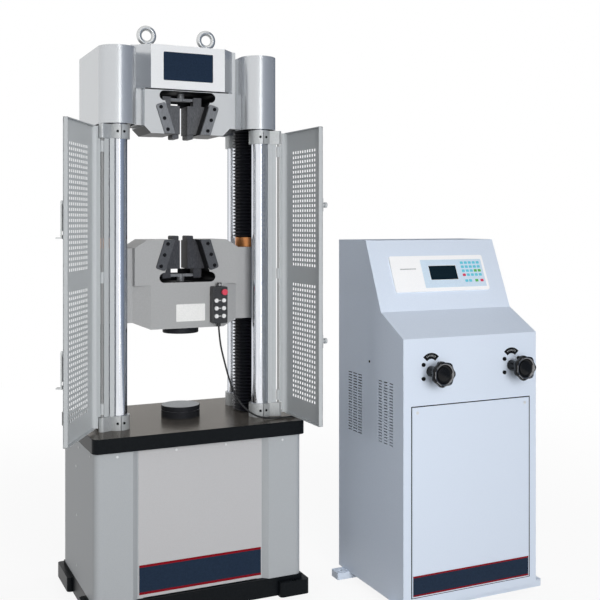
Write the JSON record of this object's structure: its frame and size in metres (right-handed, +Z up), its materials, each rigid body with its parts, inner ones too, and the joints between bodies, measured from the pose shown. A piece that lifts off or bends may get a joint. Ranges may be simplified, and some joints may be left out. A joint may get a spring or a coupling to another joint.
{
  "type": "universal testing machine",
  "caption": "Floor-standing hydraulic tension and compression tester: four-column load frame with wedge grips, guard doors and lead-screw crosshead, and a separate control cabinet.",
  "frame": {"origin": "on the floor, at the centre of the load frame's base casting", "axes": "+Z up along the columns, +X to the right towards the cabinet, +Y to the back"},
  "size_m": [1.8325, 1.031, 2.191],
  "materials": {
    "cover_paint": "satin light grey paint",
    "housing_paint": "satin grey paint",
    "casting_paint": "satin grey paint over cast iron",
    "base_black": "black paint over cast iron",
    "table_steel": "dark polished steel",
    "column_chrome": "hard chrome",
    "machined_steel": "machined steel",
    "black_steel": "black oxide steel",
    "nut_bronze": "cast bronze",
    "door_paint": "satin grey paint",
    "bellows_cloth": "coated folding cloth",
    "cable_rubber": "black rubber",
    "black_plastic": "moulded black plastic",
    "white_plastic": "white button plastic",
    "red_plastic": "red button plastic",
    "cabinet_paint": "pale powder coat",
    "screen_glass": "display glass"
  },
  "bodies": {
    "machine_base": {"base_casting": "base_black", "housing_shells": "housing_paint", "housing_panels": "housing_paint", "main_cylinder": "machined_steel", "drive_bearings": "machined_steel", "drive_chain": "black_steel", "drive_motor": "housing_paint", "cabinet_shell": "cabinet_paint", "cabinet_panels": "cabinet_paint", "foot_bars": "base_black", "display_bezel": "white_plastic", "display_screen": "screen_glass", "valve_bodies": "machined_steel", "oil_tank": "housing_paint", "pump_unit": "housing_paint"},
    "table_frame": {"ram": "column_chrome", "work_table": "table_steel", "columns": "column_chrome", "column_nuts": "machined_steel", "upper_crosshead": "casting_paint", "column_covers": "cover_paint", "front_cover": "cover_paint", "eyebolts": "machined_steel", "upper_grip_plates": "black_steel", "lower_platen": "table_steel", "column_clamps": "cover_paint", "guard_posts": "machined_steel", "upper_bellows_heads": "bellows_cloth", "lower_bellows_tails": "bellows_cloth", "pendant_cable_tail": "cable_rubber"},
    "moving_crosshead": {"lower_crosshead": "casting_paint", "screw_nuts": "nut_bronze", "lower_grip_plates": "black_steel", "upper_platen": "black_steel", "pendant": "black_plastic", "upper_bellows_tails": "bellows_cloth", "lower_bellows_heads": "bellows_cloth", "pendant_cable_drop": "cable_rubber"},
    "left_lead_screw": {"left_lead_screw": "machined_steel"},
    "right_lead_screw": {"right_lead_screw": "machined_steel"},
    "motor_sprocket": {"motor_sprocket": "machined_steel"},
    "upper_left_jaw": {"upper_left_jaw": "black_steel"},
    "upper_right_jaw": {"upper_right_jaw": "black_steel"},
    "upper_link_bar": {"upper_link_bar": "black_steel"},
    "lower_left_jaw": {"lower_left_jaw": "black_steel"},
    "lower_right_jaw": {"lower_right_jaw": "black_steel"},
    "lower_link_bar": {"lower_link_bar": "black_steel"},
    "left_door": {"left_door": "door_paint"},
    "right_door": {"right_door": "door_paint"},
    "lower_latch_lever": {"lower_latch_lever": "black_steel"},
    "upper_latch_lever": {"upper_latch_lever": "black_steel"},
    "stop_button": {"stop_button": "red_plastic"},
    "delivery_handwheel": {"delivery_handwheel": "black_plastic"},
    "return_handwheel": {"return_handwheel": "black_plastic"},
    "pendant_button_1": {"pendant_button_1": "white_plastic"},
    "pendant_button_2": {"pendant_button_2": "white_plastic"},
    "pendant_button_3": {"pendant_button_3": "white_plastic"},
    "pendant_button_4": {"pendant_button_4": "white_plastic"},
    "pendant_button_5": {"pendant_button_5": "white_plastic"},
    "pendant_button_6": {"pendant_button_6": "white_plastic"}
  },
  "joints": [
    {"name": "table_lift", "type": "slide", "parent": "machine_base", "child": "table_frame", "axis": [0, 0, 1], "range_m": [0, 0.15], "deforming": ["upper_bellows_heads", "lower_bellows_tails", "pendant_cable_tail"]},
    {"name": "crosshead_travel", "type": "slide", "parent": "machine_base", "child": "moving_crosshead", "axis": [0, 0, 1], "range_m": [-0.06, 0.2], "deforming": ["upper_bellows_tails", "lower_bellows_heads", "pendant_cable_drop"]},
    {"name": "left_screw_spin", "type": "hinge", "parent": "machine_base", "child": "left_lead_screw", "pos_m": [-0.281, 0, 0.1], "axis": [0, 0, 1], "range_deg": [-7200, 2160]},
    {"name": "right_screw_spin", "type": "hinge", "parent": "machine_base", "child": "right_lead_screw", "pos_m": [0.281, 0, 0.1], "axis": [0, 0, 1], "range_deg": [-7200, 2160]},
    {"name": "motor_spin", "type": "hinge", "parent": "machine_base", "child": "motor_sprocket", "pos_m": [0.15, 0.186, 0.12], "axis": [0, 0, 1], "range_deg": [-16128, 4838.4]},
    {"name": "upper_grip_close", "type": "slide", "parent": "table_frame", "child": "upper_link_bar", "axis": [0, 0, -1], "range_m": [-0.012, 0.042]},
    {"name": "upper_left_jaw_slide", "type": "slide", "parent": "table_frame", "child": "upper_left_jaw", "axis": [0.309, 0, -0.9511], "range_m": [-0.01263, 0.04417]},
    {"name": "upper_right_jaw_slide", "type": "slide", "parent": "table_frame", "child": "upper_right_jaw", "axis": [-0.309, 0, -0.9511], "range_m": [-0.01263, 0.04417]},
    {"name": "lower_grip_close", "type": "slide", "parent": "moving_crosshead", "child": "lower_link_bar", "axis": [0, 0, 1], "range_m": [-0.012, 0.042]},
    {"name": "lower_left_jaw_slide", "type": "slide", "parent": "moving_crosshead", "child": "lower_left_jaw", "axis": [0.309, 0, 0.9511], "range_m": [-0.01263, 0.04417]},
    {"name": "lower_right_jaw_slide", "type": "slide", "parent": "moving_crosshead", "child": "lower_right_jaw", "axis": [-0.309, 0, 0.9511], "range_m": [-0.01263, 0.04417]},
    {"name": "left_door_swing", "type": "hinge", "parent": "table_frame", "child": "left_door", "pos_m": [-0.348, -0.161, 1.2], "axis": [0, 0, 1], "range_deg": [-5.5, 120.5]},
    {"name": "right_door_swing", "type": "hinge", "parent": "table_frame", "child": "right_door", "pos_m": [0.348, -0.161, 1.2], "axis": [0, 0, 1], "range_deg": [-91, 35]},
    {"name": "lower_latch_swing", "type": "hinge", "parent": "left_door", "child": "lower_latch_lever", "pos_m": [-0.538, -0.39726, 0.985], "axis": [-0.8616, 0.5075, 0], "range_deg": [0, 90]},
    {"name": "upper_latch_swing", "type": "hinge", "parent": "left_door", "child": "upper_latch_lever", "pos_m": [-0.538, -0.39726, 1.484], "axis": [-0.8616, 0.5075, 0], "range_deg": [0, 90]},
    {"name": "button_1_press", "type": "slide", "parent": "moving_crosshead", "child": "pendant_button_1", "axis": [0, 1, 0], "range_m": [0, 0.003], "stiffness_N_per_m": 300},
    {"name": "button_2_press", "type": "slide", "parent": "moving_crosshead", "child": "pendant_button_2", "axis": [0, 1, 0], "range_m": [0, 0.003], "stiffness_N_per_m": 300},
    {"name": "button_3_press", "type": "slide", "parent": "moving_crosshead", "child": "pendant_button_3", "axis": [0, 1, 0], "range_m": [0, 0.003], "stiffness_N_per_m": 300},
    {"name": "button_4_press", "type": "slide", "parent": "moving_crosshead", "child": "pendant_button_4", "axis": [0, 1, 0], "range_m": [0, 0.003], "stiffness_N_per_m": 300},
    {"name": "button_5_press", "type": "slide", "parent": "moving_crosshead", "child": "pendant_button_5", "axis": [0, 1, 0], "range_m": [0, 0.003], "stiffness_N_per_m": 300},
    {"name": "button_6_press", "type": "slide", "parent": "moving_crosshead", "child": "pendant_button_6", "axis": [0, 1, 0], "range_m": [0, 0.003], "stiffness_N_per_m": 300},
    {"name": "stop_button_press", "type": "slide", "parent": "moving_crosshead", "child": "stop_button", "axis": [0, 1, 0], "range_m": [0, 0.004], "stiffness_N_per_m": 600},
    {"name": "delivery_valve_turn", "type": "hinge", "parent": "machine_base", "child": "delivery_handwheel", "pos_m": [0.746, -0.723, 0.877], "axis": [0, -1, 0], "range_deg": [0, 1080]},
    {"name": "return_valve_turn", "type": "hinge", "parent": "machine_base", "child": "return_handwheel", "pos_m": [1.106, -0.723, 0.877], "axis": [0, -1, 0], "range_deg": [0, 1080]}
  ],
  "couplings": [
    {"joint": "left_screw_spin", "follows": "crosshead_travel", "rad_per_m": -628.32},
    {"joint": "right_screw_spin", "follows": "crosshead_travel", "rad_per_m": -628.32},
    {"joint": "motor_spin", "follows": "crosshead_travel", "rad_per_m": -1407.4},
    {"joint": "upper_left_jaw_slide", "follows": "upper_grip_close", "ratio": 1.0515},
    {"joint": "upper_right_jaw_slide", "follows": "upper_grip_close", "ratio": 1.0515},
    {"joint": "lower_left_jaw_slide", "follows": "lower_grip_close", "ratio": 1.0515},
    {"joint": "lower_right_jaw_slide", "follows": "lower_grip_close", "ratio": 1.0515}
  ]
}
